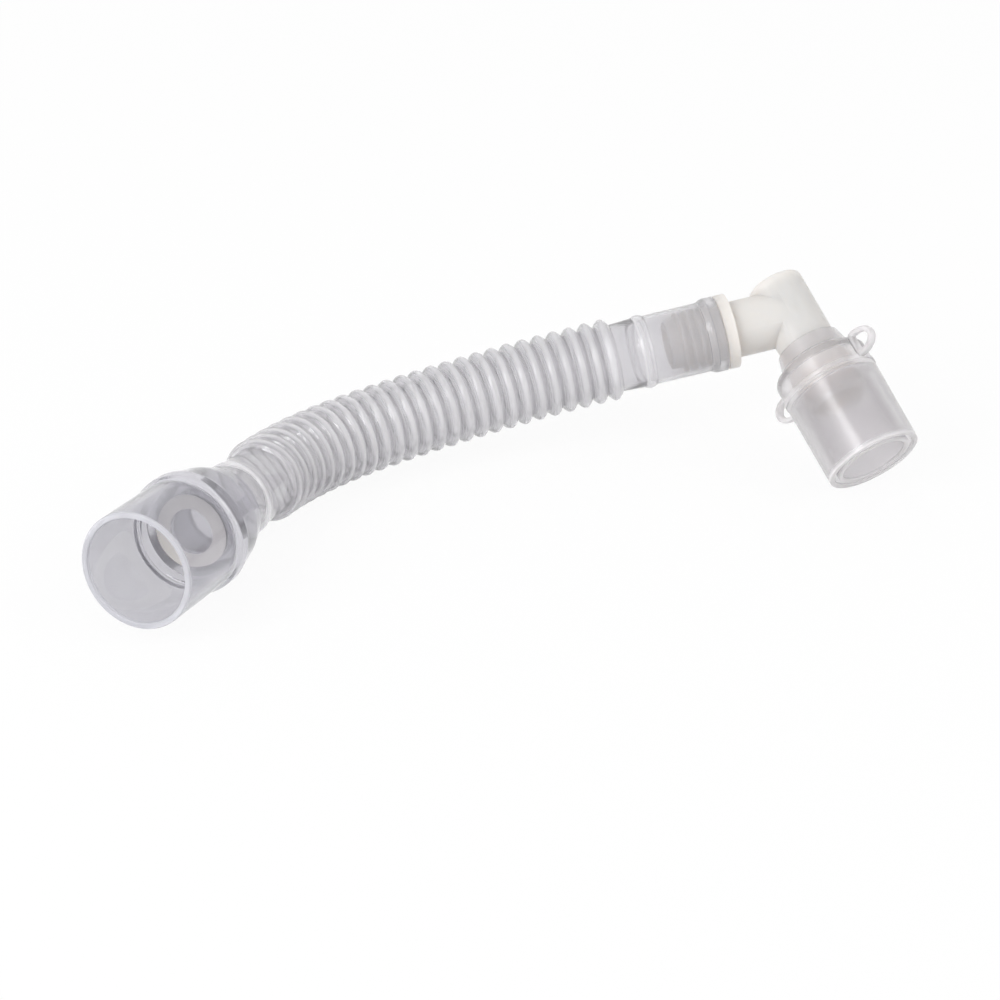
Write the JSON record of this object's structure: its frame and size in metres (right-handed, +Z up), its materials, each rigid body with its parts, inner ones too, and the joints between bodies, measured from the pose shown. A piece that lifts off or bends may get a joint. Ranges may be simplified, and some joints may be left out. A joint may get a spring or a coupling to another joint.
{
  "type": "catheter mount",
  "caption": "Corrugated breathing tube with a 22 mm socket at one end and a swivelling elbow and 22 mm cone / 15 mm socket at the other.",
  "frame": {"origin": "centre of the footprint's bounding box, at the height of the table the mount lies on", "axes": "+Z up from the table, +X along the plan view of the tube's straight end towards the elbow, +Y to the back"},
  "size_m": [0.1888, 0.0929, 0.0405],
  "materials": {
    "clear_rigid": "clear, moulded smooth",
    "soft_tube": "translucent, moulded smooth",
    "milky_rigid": "milky, moulded smooth"
  },
  "bodies": {
    "tube": {"corrugated_tube": "soft_tube", "machine_connector": "clear_rigid"},
    "elbow": {"elbow": "milky_rigid"},
    "patient_end": {"patient_connector": "clear_rigid"}
  },
  "joints": [
    {"name": "elbow_swivel", "type": "hinge", "parent": "tube", "child": "elbow", "pos_m": [0.05359, 0.03547, 0.02622], "axis": [-0.9745, 0, -0.2244], "continuous": true},
    {"name": "patient_swivel", "type": "hinge", "parent": "elbow", "child": "patient_end", "pos_m": [0.07589, 0.02351, 0.02255], "axis": [0.3176, -0.7971, -0.5135], "continuous": true}
  ]
}
